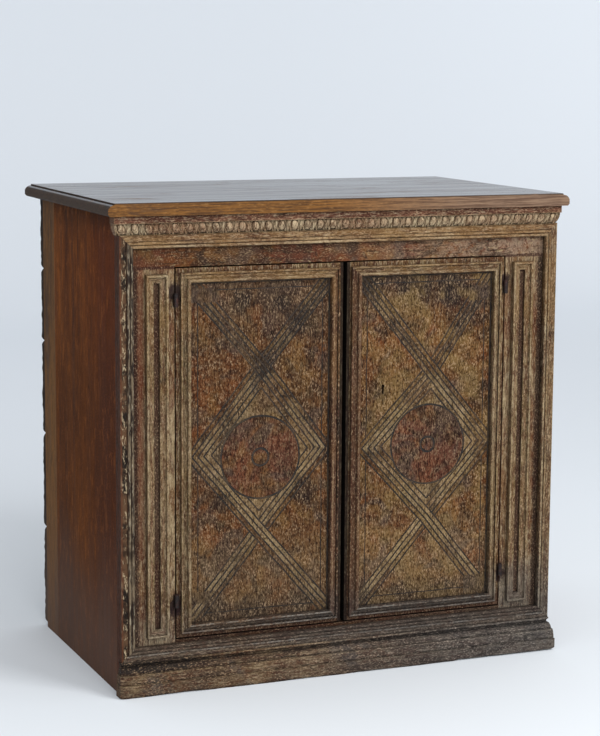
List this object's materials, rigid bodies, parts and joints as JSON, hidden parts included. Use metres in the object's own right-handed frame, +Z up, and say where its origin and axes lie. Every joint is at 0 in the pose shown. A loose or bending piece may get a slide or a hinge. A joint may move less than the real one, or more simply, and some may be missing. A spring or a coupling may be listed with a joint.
{
  "type": "credenza",
  "caption": "Low painted wooden cupboard with a moulded top, hinged doors under a carved strip, a shelf, a box lock and a slide bolt inside.",
  "frame": {"origin": "on the floor under the middle of the top", "axes": "+X to the right along the front, +Y to the back, +Z up; the doors face -Y"},
  "size_m": [1.02, 0.62, 1],
  "materials": {
    "top_wood": "dark waxed walnut with a worn, lighter front edge",
    "side_wood": "red-brown waxed walnut boards with upright grain",
    "back_wood": "bare, dark, rough-sawn softwood",
    "frame_wood": "red-brown paint and ochre worn down to the wood",
    "painted_moulding": "grey-cream distemper worn to brown wood on the edges",
    "painted_field": "ochre distemper with cream bands between incised dark lines, speckled wear",
    "inner_wood": "bare poplar, aged",
    "iron": "forged iron, dark and lightly rusted"
  },
  "bodies": {
    "carcass": {"back_bottom_plank": "back_wood", "back_lower_plank": "back_wood", "back_middle_plank": "back_wood", "back_nails": "iron", "back_top_plank": "back_wood", "back_upper_plank": "back_wood", "base_moulding": "painted_moulding", "bottom_board": "inner_wood", "bottom_rail": "frame_wood", "carved_cornice": "painted_moulding", "frame_moulding_bottom": "painted_moulding", "frame_moulding_left": "painted_moulding", "frame_moulding_right": "painted_moulding", "frame_moulding_top": "painted_moulding", "frieze_rail": "frame_wood", "left_bottom_cleat": "inner_wood", "left_hinge_frame_leaves": "iron", "left_hinge_pins": "iron", "left_panel_end_mouldings": "painted_moulding", "left_panel_long_mouldings": "painted_moulding", "left_shelf_cleat": "inner_wood", "left_side_front_board": "side_wood", "left_side_rear_board": "side_wood", "left_stile": "frame_wood", "left_top_batten": "inner_wood", "right_bottom_cleat": "inner_wood", "right_hinge_frame_leaves": "iron", "right_hinge_pins": "iron", "right_panel_end_mouldings": "painted_moulding", "right_panel_long_mouldings": "painted_moulding", "right_shelf_cleat": "inner_wood", "right_side_front_board": "side_wood", "right_side_rear_board": "side_wood", "right_stile": "frame_wood", "right_top_batten": "inner_wood", "shelf": "inner_wood", "top_front_board": "top_wood", "top_rear_board": "top_wood"},
    "left_door": {"left_door_board": "painted_field", "left_door_bolt_guides": "iron", "left_door_lower_batten": "inner_wood", "left_door_moulding_bottom": "painted_moulding", "left_door_moulding_left": "painted_moulding", "left_door_moulding_right": "painted_moulding", "left_door_moulding_top": "painted_moulding", "left_door_upper_batten": "inner_wood", "left_hinge_door_leaves": "iron", "lock_keeper": "iron"},
    "right_door": {"lock_case": "iron", "right_door_board": "painted_field", "right_door_lower_batten": "inner_wood", "right_door_moulding_bottom": "painted_moulding", "right_door_moulding_left": "painted_moulding", "right_door_moulding_right": "painted_moulding", "right_door_moulding_top": "painted_moulding", "right_door_upper_batten": "inner_wood", "right_hinge_door_leaves": "iron"},
    "lock_bolt": {"lock_bolt": "iron"},
    "left_door_bolt": {"left_door_bolt": "iron"}
  },
  "joints": [
    {"name": "left_door_swing", "type": "hinge", "parent": "carcass", "child": "left_door", "pos_m": [-0.3615, -0.2795, 0.487], "axis": [0, 0, -1], "range_deg": [0, 120]},
    {"name": "right_door_swing", "type": "hinge", "parent": "carcass", "child": "right_door", "pos_m": [0.3775, -0.2795, 0.487], "axis": [0, 0, 1], "range_deg": [0, 120]},
    {"name": "lock_bolt_throw", "type": "slide", "parent": "right_door", "child": "lock_bolt", "axis": [-1, 0, 0], "range_m": [0, 0.03]},
    {"name": "left_door_bolt_slide", "type": "slide", "parent": "left_door", "child": "left_door_bolt", "axis": [0, 0, 1], "range_m": [0, 0.024]}
  ]
}
